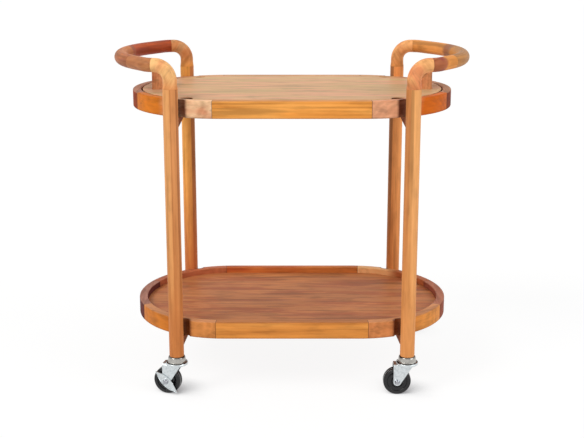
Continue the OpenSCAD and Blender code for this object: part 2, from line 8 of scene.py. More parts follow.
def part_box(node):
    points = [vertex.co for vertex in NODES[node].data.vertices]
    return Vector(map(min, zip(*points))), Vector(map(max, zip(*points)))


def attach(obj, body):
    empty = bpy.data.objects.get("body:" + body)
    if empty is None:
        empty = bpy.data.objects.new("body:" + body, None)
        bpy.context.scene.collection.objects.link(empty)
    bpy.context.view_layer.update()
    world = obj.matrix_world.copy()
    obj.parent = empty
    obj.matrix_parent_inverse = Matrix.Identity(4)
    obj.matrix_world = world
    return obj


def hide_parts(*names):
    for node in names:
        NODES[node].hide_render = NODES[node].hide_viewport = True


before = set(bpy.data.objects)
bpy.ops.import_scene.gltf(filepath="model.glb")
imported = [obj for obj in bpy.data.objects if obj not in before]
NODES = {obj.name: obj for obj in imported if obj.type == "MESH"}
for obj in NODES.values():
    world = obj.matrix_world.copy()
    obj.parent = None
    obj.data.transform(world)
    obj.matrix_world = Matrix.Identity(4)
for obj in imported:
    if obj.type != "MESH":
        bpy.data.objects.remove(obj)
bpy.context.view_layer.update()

# Sizes in metres, as in the part's source
END_X = 0.1575
POST_X, POST_Y = 0.26939, 0.20437
POST_ANGLE = math.atan2(POST_Y, POST_X - END_X)
RAIL_JOINT, END_JOINT = math.radians(85), math.radians(25)
BOW_R, HANDLE_Z = 0.2455, 0.773
TOP_Z, LOW_Z = 0.6965, 0.181
LEFT, RIGHT, FRONT, BACK = -1, 1, -1, 1
SIDES = {"left": LEFT, "right": RIGHT}
ENDS = {"front": FRONT, "back": BACK}
WHITE = (1.0, 1.0, 1.0, 1.0)


def srgb(*rgb):
    """Linear colour of an 8 bit colour."""
    linear = (c / 255 / 12.92 if c < 11 else ((c / 255 + 0.055) / 1.055) ** 2.4 for c in rgb)
    return (*linear, 1.0)


def scaled(colour, k):
    """Colour k times as bright, with no channel over 1."""
    return (*(min(1.0, c * k) for c in colour[:3]), 1.0)


class Shader:
    """Short calls that build the nodes of a material or world."""

    def __init__(self, owner):
        owner.use_nodes = True
        self.owner, self.tree = owner, owner.node_tree
        self.tree.nodes.clear()

    def node(self, kind, **settings):
        n = self.tree.nodes.new("ShaderNode" + kind)
        for name, value in settings.items():
            setattr(n, name, value)
        return n

    def put(self, socket, value):
        """Link or set a socket. None leaves it as it is."""
        if isinstance(value, bpy.types.NodeSocket):
            self.tree.links.new(value, socket)
        elif value is not None:
            socket.default_value = value

    def fed(self, n, *values):
        """First output of a node whose inputs get the values in their order."""
        for socket, value in zip(n.inputs, values):
            self.put(socket, value)
        return n.outputs[0]

    def math(self, op, a, b=None, c=None):
        return self.fed(self.node("Math", operation=op), a, b, c)

    def add(self, *values):
        total = values[0]
        for v in values[1:]:
            total = self.math("ADD", total, v)
        return total

    def times(self, a, b):
        return self.math("MULTIPLY", a, b)

    def mapped(self, turn=(0, 0, 0)):
        """Object coordinates in turned axes."""
        n = self.node("Mapping", vector_type="TEXTURE")
        self.put(n.inputs["Vector"], self.node("TexCoord").outputs["Object"])
        n.inputs["Rotation"].default_value = turn
        return n.outputs[0]

    def parts(self, v):
        n = self.node("SeparateXYZ")
        self.put(n.inputs[0], v)
        return n.outputs[:3]

    def joined(self, x, y, z):
        return self.fed(self.node("CombineXYZ"), x, y, z)

    def noise(self, v, scale=1.0, detail=2.0, rough=0.5):
        n = self.node("TexNoise")
        self.put(n.inputs["Vector"], v)
        for name, value in (("Scale", scale), ("Detail", detail), ("Roughness", rough)):
            n.inputs[name].default_value = value
        return n.outputs["Fac"]

    def grain(self, xyz, along, across, detail=2.0, rough=0.5):
        """Noise drawn out along the grain, with its scales per metre along and across it."""
        x, y, z = xyz
        return self.noise(self.joined(self.times(x, along), self.times(y, across),
                                      self.times(z, across)), 1.0, detail, rough)

    def random(self, value, seed):
        n = self.node("TexWhiteNoise", noise_dimensions="2D")
        self.put(n.inputs["Vector"], self.joined(value, seed, 0.0))
        return n.outputs["Value"]

    def span(self, value, low, high, to_low=0.0, to_high=1.0):
        """Smooth step from to_low at low to to_high at high."""
        n = self.node("MapRange", interpolation_type="SMOOTHSTEP")
        return self.fed(n, value, low, high, to_low, to_high)

    def mix(self, fac, a, b, blend="MIX"):
        n = self.node("Mix", data_type="RGBA", blend_type=blend)
        self.put(n.inputs["Factor"], fac)
        self.put(n.inputs[6], a)
        self.put(n.inputs[7], b)
        return n.outputs[2]

    def ramp(self, fac, *stops):
        n = self.node("ValToRGB")
        self.put(n.inputs[0], fac)
        while len(n.color_ramp.elements) < len(stops):
            n.color_ramp.elements.new(0.5)
        for e, (at, colour) in zip(n.color_ramp.elements, stops):
            e.position = at
            e.color = (*colour, 1.0)
        return n.outputs[0]


class Surface(Shader):
    """Shader of a new material with one principled surface."""

    def __init__(self, name):
        super().__init__(bpy.data.materials.new(name))
        out = self.node("OutputMaterial")
        self.bsdf = self.node("BsdfPrincipled")
        self.tree.links.new(self.bsdf.outputs[0], out.inputs[0])

    def bump(self, height, strength, distance, normal):
        n = self.node("Bump")
        n.inputs["Strength"].default_value = strength
        n.inputs["Distance"].default_value = distance
        self.put(n.inputs["Height"], height)
        self.put(n.inputs["Normal"], normal)
        self.put(self.bsdf.inputs["Normal"], n.outputs[0])

    def edges(self, radius):
        """Rounded normal, and how much it turns away from the face at worn edges."""
        soft = self.node("Bevel", samples=6)
        soft.inputs["Radius"].default_value = radius
        dot = self.node("VectorMath", operation="DOT_PRODUCT")
        self.put(dot.inputs[0], soft.outputs[0])
        self.put(dot.inputs[1], self.node("NewGeometry").outputs["Normal"])
        return soft.outputs[0], self.span(dot.outputs["Value"], 0.99, 0.80)

    def set(self, **values):
        for name, v in values.items():
            self.put(self.bsdf.inputs[name.replace("_", " ")], v)


def paint(node, material):
    materials = NODES[node].data.materials
    materials.clear()
    materials.append(material)


# Wood: brightness of its dark and light parts and of dark boards
DARKER, LIGHTER, DARK_BOARD = 0.5, 1.22, 0.72
# Tones of the figure from dark to light, and the rings' waves in radians per metre
TONES = ((0.10, (0.46, 0.38, 0.31)), (0.40, (0.86, 0.83, 0.80)),
         (0.60, (1.0, 1.0, 1.0)), (0.95, (1.15, 1.18, 1.21)))
RING_RADIANS = 900.0
# Joint lines, shade under a sunk height, height of a rim's lower edge with painted shade, and worn
# edges
SEAM_HALF, SEAM_END, SEAM_COLOUR = 0.0004, 0.0011, srgb(84, 36, 16)
SUNK_FADE, SUNK_COLOUR = 0.0015, srgb(90, 50, 31)
SHADED_HEM_RISE = 0.0065
WOOD_EDGE_R = 0.0012


def wooden(node, base, seed, turn=(0, 0, 0), bow=0, tint=None, figure=1.0, streaks=1.0, mottle=0.5,
           rough=0.5, sheen=0.16, boards=None, blend=None, light_and_shade_strips=(), fade=None, cap=None, rim=False,
           patch=None, sunk=None):
    """Paint a node as oiled wood, its grain along the turned X axis or round the bow of one side.

    tint     colour of broad soft areas
    figure   strength of the rings and of the tones along the grain
    streaks  strength of the dark and light streaks
    mottle   strength of the dark and light clouds
    rough    roughness, and sheen the specular level
    boards   width of glued boards along Y, and how far they differ
    blend    colour towards the cart's end, and the degrees on the end curve where it stops
    strips   offset outwards, half width and colour of each painted strip down a post, lighter for a highlight and darker for shade
    fade     colour of the lower part, and the heights where it changes
    cap      colour of the upper part, and the heights where it changes
    rim      whether it has a rim's joint lines and painted shade along its lower edge
    patch    centre, inner and outer radius and colour of a mark; on a corner block, the painted shade in the hollow beside a post
    sunk     height under which the piece lies in its own shade
    """
    s = Surface(f"wood_{node}")
    base = srgb(*base)
    dark, light = scaled(base, DARKER), scaled(base, LIGHTER)

    # Axes of the grain
    px, py, pz = s.parts(s.mapped())
    if bow:
        ox = s.math("SUBTRACT", s.times(px, bow), END_X)
        far = s.math("SQRT", s.add(s.times(ox, ox), s.times(py, py)))
        x = s.times(s.math("ARCTAN2", py, ox), BOW_R)
        y, z = s.math("SUBTRACT", far, BOW_R), s.math("SUBTRACT", pz, HANDLE_Z)
    else:
        x, y, z = s.parts(s.mapped(turn))
    if boards:
        width, difference = boards
        index = s.math("FLOOR", s.math("DIVIDE", s.add(y, 1.0 + seed * 0.013), width))
        one, two = s.random(index, seed + 0.37), s.random(index, seed + 5.11)
        x, z = s.add(x, s.times(one, 7.0)), s.add(z, s.times(two, 0.4))
    x, y = s.add(x, seed * 1.731), s.add(y, seed * 0.277)

    # Noises and rings
    low = s.grain((x, y, z), 1.8, 10.0, 3.0, 0.55)
    broad = s.grain((x, y, s.add(z, 3.0)), 4.5, 34.0)
    medium = s.grain((x, y, z), 5.0, 95.0, 4.0, 0.62)
    fibre = s.grain((x, y, z), 26.0, 560.0)
    cloud = s.grain((x, y, s.add(z, 11.0)), 13.0, 46.0, 3.0, 0.6)
    streak = s.grain((x, y, s.add(z, 7.0)), 2.6, 62.0, 2.0, 0.45)
    wave = s.math("MULTIPLY_ADD", s.add(low, -0.5), 0.03, 0.031)
    yy, zz = s.add(y, wave), s.math("MULTIPLY_ADD", z, 0.8, 0.11)
    rings = s.math("SQRT", s.add(s.times(yy, yy), s.times(zz, zz)))
    rings = s.math("MULTIPLY_ADD", s.math("SINE", s.times(rings, RING_RADIANS)), 0.5, 0.5)
    value = s.math("MULTIPLY_ADD", s.math("POWER", rings, 1.5), 0.17 * figure, 0.5 - 0.27 * figure)
    value = s.math("MULTIPLY_ADD", s.span(medium, 0.28, 0.74), 0.32 * figure, value)
    value = s.math("MULTIPLY_ADD", fibre, 0.16, value)

    def by_height(under, over, low_z, high_z):
        """One colour over another, with an uneven change between two heights."""
        level = s.math("MULTIPLY_ADD", s.add(medium, -0.5), (high_z - low_z) * 0.8, pz)
        return s.mix(s.span(level, low_z, high_z), under, over)

    # Ground colour
    ground = base
    if boards:
        ground = s.mix(s.times(one, difference), ground, scaled(base, DARK_BOARD))
        ground = s.mix(s.times(two, difference), ground, light)
    if tint:
        ground = s.mix(s.span(broad, 0.40, 0.64), ground, srgb(*tint))
    if blend:
        other, start, stop = blend
        angle = s.math("ARCTAN2", s.math("ABSOLUTE", py), s.add(s.math("ABSOLUTE", px), -END_X))
        angle = s.math("MULTIPLY_ADD", s.add(low, -0.5), 0.25, angle)
        ground = s.mix(s.span(angle, math.radians(start), math.radians(stop)), srgb(*other), ground)
    # Strips down a post paint its highlight and its shade
    for offset, half, colour in light_and_shade_strips:
        away = s.math("ABSOLUTE", s.math("SUBTRACT", s.math("ABSOLUTE", px), POST_X + offset))
        ground = s.mix(s.span(away, half * 0.7, half * 1.2, 1.0, 0.0), ground, srgb(*colour))
    if fade:
        below, low_z, high_z = fade
        ground = by_height(srgb(*below), ground, low_z, high_z)
    if cap:
        above, low_z, high_z = cap
        ground = by_height(ground, srgb(*above), low_z, high_z)
    if blend or fade or cap:
        dark, light = (s.mix(1.0, ground, (k, k, k, 1.0), "MULTIPLY") for k in (DARKER, LIGHTER))

    # Clouds, figure and streaks
    ground = s.mix(s.span(cloud, 0.50, 0.68, 0.0, 0.55 * mottle), ground, dark)
    ground = s.mix(s.span(cloud, 0.48, 0.32, 0.0, 0.60 * mottle), ground, light)
    colour = s.mix(1.0, ground, s.ramp(value, *TONES), "MULTIPLY")
    colour = s.mix(s.span(streak, 0.585, 0.70, 0.0, 0.62 * streaks), colour, dark)
    colour = s.mix(s.span(streak, 0.42, 0.30, 0.0, 0.30 * streaks), colour, light)
    colour = s.mix(s.span(fibre, 0.30, 0.16, 0.0, 0.4), colour, dark)

    # Marks and edges
    if rim:
        ax = s.add(s.math("ABSOLUTE", px), -END_X)
        for at in (RAIL_JOINT, END_JOINT):
            off = s.math("SUBTRACT", s.times(ax, math.sin(at)),
                         s.times(s.math("ABSOLUTE", py), math.cos(at)))
            seam = s.span(s.math("ABSOLUTE", off), SEAM_HALF, SEAM_END, 0.7, 0.0)
            colour = s.mix(seam, colour, SEAM_COLOUR)
    if patch:
        (cx, cy), inner, outer, mark = patch
        away = s.node("VectorMath", operation="LENGTH")
        s.put(away.inputs[0], s.joined(s.add(px, -cx), s.add(py, -cy), 0.0))
        away = s.math("MULTIPLY_ADD", s.add(medium, -0.5), 0.004, away.outputs["Value"])
        colour = s.mix(s.span(away, inner, outer, 0.97, 0.0), colour, srgb(*mark))
    if sunk:
        colour = s.mix(s.span(pz, sunk, sunk - SUNK_FADE, 0.0, 0.93), colour, SUNK_COLOUR)
    # Painted shade along the lower edge of a rim
    if rim:
        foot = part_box(node)[0][2]
        colour = s.mix(s.span(pz, foot + SHADED_HEM_RISE, foot, 0.0, 0.45), colour, dark)
    soft, worn = s.edges(WOOD_EDGE_R)
    colour = s.mix(s.times(worn, 0.45), colour, s.mix(medium, dark, light))
    s.set(Base_Color=colour,
          Roughness=s.span(s.add(s.times(medium, 0.6), s.times(fibre, 0.4)), 0.2, 0.8,
                           rough - 0.06, rough + 0.1),
          Specular_IOR_Level=sheen, Coat_Weight=0.02, Coat_Roughness=0.3)
    s.bump(s.math("MULTIPLY_ADD", fibre, 0.6, s.times(value, 0.4)), 0.35, 0.0006, soft)
    paint(node, s.owner)


def scoop(side, end):
    """Centre of the hollow beside a post, where its shade is painted dark."""
    out = Vector((math.cos(POST_ANGLE) * side, math.sin(POST_ANGLE) * end))
    along = Vector((-out.y * side * end, out.x * side * end))
    centre = Vector((POST_X * side, POST_Y * end)) - out * 0.008 + along * 0.017
    return centre.x, centre.y


def chord(side, end, degrees):
    """Turn about Z of a block whose middle lies at that angle on the end curve."""
    a = math.radians(degrees)
    return 0, 0, math.atan2(-math.cos(a) * end, math.sin(a) * side)


def top_face(colour, top):
    """Colour, and the heights where it starts and ends to change at a rim's top face."""
    return colour, top - 0.0030, top - 0.0004


# Turns of the grain, and in degrees the middle of a corner block and the lean of an elbow
ACROSS, UPRIGHT = (0, 0, math.pi / 2), (0, math.pi / 2, 0)
CORNER_MIDDLE, ELBOW_LEAN = 55, 55
# Degrees where a corner block changes colour, and radii and colour of the painted shade in its hollow
# beside a post
CORNER_CHANGE, HOLLOW_SHADE = (50, 62), (0.0105, 0.0205, (72, 10, 0))
# Heights between which posts and elbows change colour
POST_CHANGE, ELBOW_CHANGE = (0.10, 0.50), (0.716, 0.752)

# Rails of the rims: colour, tint, figure and the cap of the top face
RAILS = {
    "top_rail_front": ((242, 158, 70), (250, 172, 84), 1.4, top_face((218, 148, 84), TOP_Z)),
    "top_rail_back": ((214, 164, 118), (204, 150, 104), 0.8, None),
    "lower_rail_front": ((226, 145, 66), (234, 156, 76), 1.2, top_face((192, 122, 66), LOW_Z)),
    # The lower back rail's redder colour and tint paint the reddish light bounced from the floor onto
    # its inner wall
    "lower_rail_back": ((214, 124, 60), (182, 84, 41), 1.2, None)}
for i, (node, (base, tint, figure, cap)) in enumerate(RAILS.items()):
    wooden(node, base, 1.0 + i, tint=tint, figure=figure, streaks=1.1, rim=True, cap=cap)

# Corner blocks: colour, colour towards the cart's end, tint and the cap of the top face
LOWER_FRONT_CAP = top_face((212, 144, 94), LOW_Z)
CORNERS = {
    "top_corner_front_left": ((248, 202, 158), (218, 122, 22), (225, 154, 113), None),
    "top_corner_front_right": ((234, 169, 129), (217, 105, 0), (225, 157, 118), None),
    "top_corner_back_left": ((216, 162, 116), (190, 130, 98), None, None),
    "top_corner_back_right": ((216, 162, 112), (196, 140, 104), None, None),
    "lower_corner_front_left": ((217, 139, 73), (213, 125, 41), None, LOWER_FRONT_CAP),
    "lower_corner_front_right": ((217, 136, 79), (233, 150, 69), None, LOWER_FRONT_CAP),
    "lower_corner_back_left": ((198, 113, 74), (178, 98, 64), None, None),
    "lower_corner_back_right": ((255, 193, 132), (192, 106, 60), None, None)}
for i, (node, (base, other, tint, cap)) in enumerate(CORNERS.items()):
    side, end = SIDES[node.split("_")[3]], ENDS[node.split("_")[2]]
    wooden(node, base, 6.0 + i, chord(side, end, CORNER_MIDDLE), tint=tint, figure=0.8,
           streaks=0.8, mottle=0.7, rim=True, cap=cap, blend=(other, *CORNER_CHANGE),
           patch=(scoop(side, end), *HOLLOW_SHADE))

# End blocks: colour of the sides, and of the top face with its height
END_BLOCKS = {
    "top_end_left": ((158, 72, 40), (188, 138, 116), TOP_Z),
    "top_end_right": ((138, 70, 48), (188, 142, 114), TOP_Z),
    "lower_end_left": ((102, 52, 48), (180, 130, 114), LOW_Z),
    "lower_end_right": ((152, 83, 63), (188, 125, 102), LOW_Z)}
for i, (node, (sides, above, top)) in enumerate(END_BLOCKS.items()):
    wooden(node, above, 16.0 + i, ACROSS, figure=0.9, mottle=0.9, rough=0.62, sheen=0.04,
           rim=True, fade=top_face(sides, top))

# Flat panels, ledges, wedges, dowels and grips
wooden("top_panel", (212, 174, 124), 21.0, tint=(226, 168, 130), figure=0.6, streaks=0.6,
       mottle=0.7, boards=(0.066, 0.35), sunk=TOP_Z - 0.0006)
wooden("lower_floor", (194, 124, 75), 22.0, tint=(176, 100, 61), streaks=1.3, mottle=0.9,
       boards=(0.074, 0.3))
for i, node in enumerate(("top_ledges", "lower_ledges", "top_corbels", "lower_corbels")):
    wooden(node, (150, 84, 50), 24.0 + i)
for i, node in enumerate(("rim_dowels", "frame_dowels")):
    wooden(node, (222, 188, 140), 28.0 + i)
wooden("panel_grips", (228, 158, 108), 29.5, ACROSS, tint=(210, 128, 84))

# Posts: colour, colour of the foot, and strips of painted highlight and shade as in wooden
POSTS = {
    "post_front_left": ((226, 151, 91), (206, 127, 68), (
        (0.0085, 0.0075, (240, 170, 105)), (-0.0012, 0.0011, (206, 134, 78)),
        (-0.0138, 0.0018, (188, 120, 72)))),
    "post_front_right": ((226, 158, 93), (232, 156, 91), (
        (0.008, 0.008, (252, 181, 112)), (-0.0118, 0.0053, (212, 139, 80)))),
    "post_back_left": ((255, 178, 90), (208, 118, 66), ((-0.0125, 0.0045, (205, 128, 72)),)),
    "post_back_right": ((250, 166, 96), (224, 142, 78), ((-0.013, 0.004, (184, 122, 74)),))}
for i, (node, (base, foot, light_and_shade_strips)) in enumerate(POSTS.items()):
    wooden(node, base, 30.0 + i, UPRIGHT, figure=0.75, streaks=0.8, light_and_shade_strips=light_and_shade_strips,
           fade=(foot, *POST_CHANGE))

# Elbows: colour, tint and colour of the lower part
ELBOWS = {
    "elbow_front_left": ((255, 197, 130), (245, 169, 111), (224, 146, 86)),
    "elbow_front_right": ((247, 180, 116), (239, 154, 102), (224, 138, 88)),
    "elbow_back_left": ((221, 159, 106), (206, 133, 80), (240, 160, 78)),
    "elbow_back_right": ((246, 176, 112), (228, 147, 94), (238, 158, 88))}
for i, (node, (base, tint, below)) in enumerate(ELBOWS.items()):
    lean = math.radians(ELBOW_LEAN * SIDES[node.split("_")[2]])
    wooden(node, base, 36.0 + i, (0, lean, 0), tint=tint, figure=0.95, streaks=0.9, mottle=0.8,
           fade=(below, *ELBOW_CHANGE))

# Handle bars: colour, tint, patch and blend
HANDLES = {
    "handle_left_front_arm": ((191, 121, 75), (204, 138, 88), None, None),
    "handle_left_bend": ((198, 120, 66), (168, 98, 64),
                         ((-0.381, 0.063), 0.012, 0.024, (160, 86, 58)), None),
    "handle_left_back_arm": ((195, 88, 44), (150, 62, 38), None, None),
    "handle_right_front_arm": ((174, 99, 62), None,
                               ((0.3270, -0.1885), 0.006, 0.0125, (152, 68, 50)),
                               ((230, 150, 70), 42, 45)),
    "handle_right_bend": ((206, 140, 68), (176, 128, 84),
                          ((0.389, 0.072), 0.012, 0.027, (158, 112, 84)), None),
    "handle_right_back_arm": ((236, 159, 84), (214, 136, 72),
                              ((0.386, 0.072), 0.014, 0.030, (160, 104, 70)), None)}
for i, (node, (base, tint, patch, blend)) in enumerate(HANDLES.items()):
    wooden(node, base, 42.0 + i, bow=SIDES[node.split("_")[1]], tint=tint, mottle=0.9, patch=patch,
           blend=blend)


def metal(name, base, rough, spangle=220.0, shaded=None):
    """Plated metal, darker with painted shade between the two shaded heights, under the foot of a post.
    """
    s = Surface(name)
    q = s.mapped()
    cloud = s.noise(q, spangle, 3.0, 0.6)
    fine = s.noise(q, 1500.0, 2.0)
    smudge = s.noise(q, 45.0, 3.0, 0.55)
    soft, worn = s.edges(0.0007)
    base = srgb(*base)
    colour = s.mix(s.span(cloud, 0.35, 0.7), base, scaled(base, 0.80))
    colour = s.mix(s.span(smudge, 0.5, 0.75, 0.0, 0.4), colour, scaled(base, 0.62))
    # Painted shade round the top of the cup, under the post
    if shaded:
        level = s.math("MULTIPLY_ADD", s.add(smudge, -0.5), 0.004, s.parts(q)[2])
        colour = s.mix(s.span(level, *shaded, 0.0, 0.8), colour, srgb(64, 56, 52))
    colour = s.mix(s.times(worn, 0.6), colour, srgb(238, 240, 242))
    s.set(Base_Color=colour, Metallic=1.0,
          Roughness=s.span(cloud, 0.3, 0.7, rough - 0.05, rough + 0.09))
    s.bump(s.add(cloud, s.times(fine, 0.5)), 0.07, 0.0003, soft)
    return s.owner


def rubber(name, base, rough):
    """Dusty rubber, paler at its edges."""
    s = Surface(name)
    q = s.mapped()
    grit = s.noise(q, 800.0, 3.0, 0.6)
    dust = s.noise(q, 60.0, 3.0, 0.55)
    soft, worn = s.edges(0.0008)
    colour = s.mix(s.span(dust, 0.5, 0.8, 0.0, 0.3), srgb(*base), srgb(44, 44, 46))
    colour = s.mix(s.times(worn, 0.4), colour, srgb(74, 74, 78))
    s.set(Base_Color=colour, Specular_IOR_Level=0.45,
          Roughness=s.span(dust, 0.3, 0.7, rough - 0.06, rough + 0.1))
    s.bump(grit, 0.12, 0.0003, soft)
    return s.owner


ZINC = metal("zinc", (218, 224, 226), 0.30)
CHROME = metal("chrome", (184, 181, 175), 0.22, 90.0, shaded=(0.0895, 0.0940))
BOLT = metal("bolt_zinc", (176, 178, 184), 0.30)
BRASS = metal("brass", (196, 160, 92), 0.34)
BLACK = rubber("black_rubber", (13, 13, 15), 0.27)
for node in ("tier_bolts", "swivel_balls"):
    paint(node, BOLT)
paint("threaded_inserts", BRASS)


def placed(name, data):
    """New object in the scene."""
    thing = bpy.data.objects.new(name, data)
    bpy.context.scene.collection.objects.link(thing)
    return thing


def placed_mesh(bm, name, material):
    """New object of a bmesh, which is freed."""
    data = bpy.data.meshes.new(name)
    bm.to_mesh(data)
    bm.free()
    data.materials.append(material)
    return placed(name, data)


def finished(bm, name, matrix, material, body, slot, *replaced, bevel=0.0):
    """Object of a bmesh in the row's frame, riding on its body."""
    bmesh.ops.remove_doubles(bm, verts=bm.verts, dist=1e-6)
    bmesh.ops.recalc_face_normals(bm, faces=bm.faces)
    bmesh.ops.transform(bm, matrix=matrix, verts=bm.verts)
    piece = placed_mesh(bm, name, material)
    for face in piece.data.polygons:
        face.use_smooth = True
    if bevel:
        mod = piece.modifiers.new("bevel", "BEVEL")
        mod.width = bevel
        mod.segments = 2
        mod.limit_method = "ANGLE"
        mod.angle_limit = math.radians(35)
        mod.harden_normals = True
    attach(piece, body)
    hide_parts(*replaced)


def lathe(profile, steps=96):
    """Closed ring or solid of revolution about Z from a closed (radius, height) profile."""
    bm = bmesh.new()
    rings = []
    for k in range(steps):
        a = 2 * math.pi * k / steps
        rings.append([bm.verts.new((r * math.cos(a), r * math.sin(a), h)) for r, h in profile])
    n = len(profile)
    for k in range(steps):
        one, two = rings[k], rings[(k + 1) % steps]
        for i in range(n):
            j = (i + 1) % n
            on_axis = profile[i][0] < 1e-9, profile[j][0] < 1e-9
            if all(on_axis):
                continue
            if on_axis[0]:
                corners = [one[i], two[j], one[j]]
            elif on_axis[1]:
                corners = [one[i], two[i], one[j]]
            else:
                corners = [one[i], two[i], two[j], one[j]]
            bm.faces.new(corners)
    bmesh.ops.remove_doubles(bm, verts=bm.verts, dist=1e-7)
    return bm


def arc(cx, cy, r, start, end, steps=8):
    angles = [math.radians(start + (end - start) * k / steps) for k in range(steps + 1)]
    return [(cx + r * math.cos(a), cy + r * math.sin(a)) for a in angles]


def slab(bm, outline, low, high, turn=Matrix()):
    """Prism of a plane outline, from low to high along Z, then turned."""
    under = [bm.verts.new(turn @ Vector((x, y, low))) for x, y in outline]
    over = [bm.verts.new(turn @ Vector((x, y, high))) for x, y in outline]
    bm.faces.new(under[::-1])
    bm.faces.new(over)
    n = len(outline)
    for i in range(n):
        bm.faces.new((under[i], under[(i + 1) % n], over[(i + 1) % n], over[i]))


# Casters, in metres, about the swivel axis with the wheel behind it on -X
WHEEL_R, HALF_W, TRAIL = 0.0325, 0.010, 0.023
LEG_IN, SHEET = 0.0123, 0.0022
LEG_OUT = LEG_IN + SHEET
CROWN_Z, CROWN_R, CUP_R = 0.074, 0.026, 0.022
CROWN_TOP = CROWN_Z + SHEET
KING_R, KING_BORE, STEM_R = 0.005, 0.00508, 0.0055
FORK_END_R, FORK_FRONT, FORK_BEND = 0.009, 0.015, 0.006
SADDLE_FRONT, SHOULDER_BACK = -0.0065, -0.007
LEVER_IN, LEVER_SHEET = LEG_OUT + 0.0003, 0.002
LEVER_OUT = LEVER_IN + LEVER_SHEET
LEVER_REACH, LEVER_TAIL, LEVER_TIP, LEVER_HALF = 0.0345, 0.0315, 0.00225, 0.011
LEVER_BORE, LEVER_DISH, LEVER_CREST = 0.00408, 0.0006, 0.0008
SHOE_T, SHOE_DROP = 0.002, 0.009
LEVER_SLOPE = math.radians(43.6)
AXLE = Matrix.Translation((-TRAIL, 0, WHEEL_R)) @ Matrix.Rotation(math.pi / 2, 4, "X")

# Side of a wheel from its hub out: radius, and height over the side's plane
WHEEL_SIDE = (
    (0.0041, 0.002), (0.0078, 0.002), (0.0086, 0.0014), (0.0094, -0.0026),
    (0.0130, -0.0030), (0.0133, -0.0022), (0.0141, -0.0022), (0.0144, -0.0030),
    (0.0222, -0.0030), (0.0232, -0.0016), (0.0236, -0.0003), (0.0246, 0.0),
    (0.0282, 0.0), (0.0286, -0.0006), (0.0292, -0.0006), (0.0298, -0.0002))


def wheel_mesh():
    """Wheel with its hub and discs, and a tread with round shoulders and a shallow groove."""
    side = [(r, HALF_W + h) for r, h in WHEEL_SIDE]
    side += [(0.0298 + 0.0027 * math.sin(math.radians(a)),
              HALF_W - 0.0047 + 0.0045 * math.cos(math.radians(a))) for a in range(15, 91, 15)]
    side += [(WHEEL_R, 0.0012), (WHEEL_R - 0.0004, 0.0004)]
    return lathe(side + [(r, -h) for r, h in reversed(side)], 128)


def cup_mesh(foot):
    """Swivel cup up to the foot of its post, with the king pin's head under it and the stem over it."""
    head, floor_z, lip = CROWN_Z - 0.0003, CROWN_TOP + 0.00416, CROWN_TOP + 0.0034
    brow, wall = lip + 0.0024, CUP_R - 0.002
    profile = [(0, head - 0.003), (0.0080, head - 0.003), (0.0088, head - 0.0022), (0.0090, head),
               (KING_R, head), (KING_R, floor_z), (wall, floor_z), (wall, lip),
               (CUP_R - 0.0006, lip), (CUP_R, lip + 0.0006), (CUP_R, lip + 0.0016),
               (CUP_R - 0.0007, lip + 0.0021), (CUP_R - 0.0016, brow)]
    profile += [(0.0150 + 0.0056 * math.cos(math.radians(a)) ** 0.7,
                 brow + (foot - brow) * math.sin(math.radians(a)) ** 0.7)
                for a in (4, 12, 24, 38, 52, 66, 78, 90)]
    profile += [(STEM_R, foot), (STEM_R, foot + 0.036), (STEM_R - 0.0015, foot + 0.038),
                (0, foot + 0.038)]
    return lathe(profile)


def fork_mesh():
    """Crown with a rolled rim, bent saddle and two tapering cheeks."""
    top = CROWN_TOP + 0.003
    bm = lathe([(KING_BORE, CROWN_Z), (CROWN_R - 0.0004, CROWN_Z), (CROWN_R, CROWN_Z + 0.0004),
                (CROWN_R, CROWN_TOP - 0.0002), (CROWN_R - 0.0006, top - 0.0006),
                (CROWN_R - 0.0010, top), (CROWN_R - 0.0016, top - 0.0002),
                (0.02405, CROWN_TOP + 0.0003), (0.0238, CROWN_TOP), (KING_BORE, CROWN_TOP)])
    bend_z = CROWN_TOP - FORK_BEND
    centre = LEG_OUT - FORK_BEND, bend_z
    outer = [(LEG_OUT, bend_z), *arc(*centre, FORK_BEND, 0, 90)]
    inner = [*arc(*centre, FORK_BEND - SHEET, 90, 0), (LEG_IN, bend_z)]
    outer = outer + [(-y, z) for y, z in reversed(outer)]
    inner = [(-y, z) for y, z in reversed(inner)] + inner
    across = Matrix(((0, 0, 1, 0), (1, 0, 0, 0), (0, 1, 0, 0), (0, 0, 0, 1)))
    slab(bm, outer + inner, -TRAIL - FORK_END_R, SADDLE_FRONT, across)
    span = Vector((FORK_FRONT + TRAIL, CROWN_TOP - WHEEL_R))
    slope = math.atan2(span.y, span.x) - math.acos(FORK_END_R / span.length)
    leg = arc(-TRAIL, WHEEL_R, FORK_END_R, 180, 360 + math.degrees(slope), 20)
    last_x, last_z = leg[-1]
    reach = (bend_z - last_z) / (CROWN_TOP - last_z)
    leg += [(last_x + (FORK_FRONT - last_x) * reach, bend_z), (FORK_FRONT, CROWN_Z),
            (SHOULDER_BACK, CROWN_Z), (SHOULDER_BACK, bend_z), (-TRAIL - FORK_END_R, bend_z)]
    upright = Matrix(((1, 0, 0, 0), (0, 0, 1, 0), (0, 1, 0, 0), (0, 0, 0, 1)))
    for cheek in (-LEG_OUT, LEG_IN):
        slab(bm, leg, cheek, cheek + SHEET, upright)
    return bm


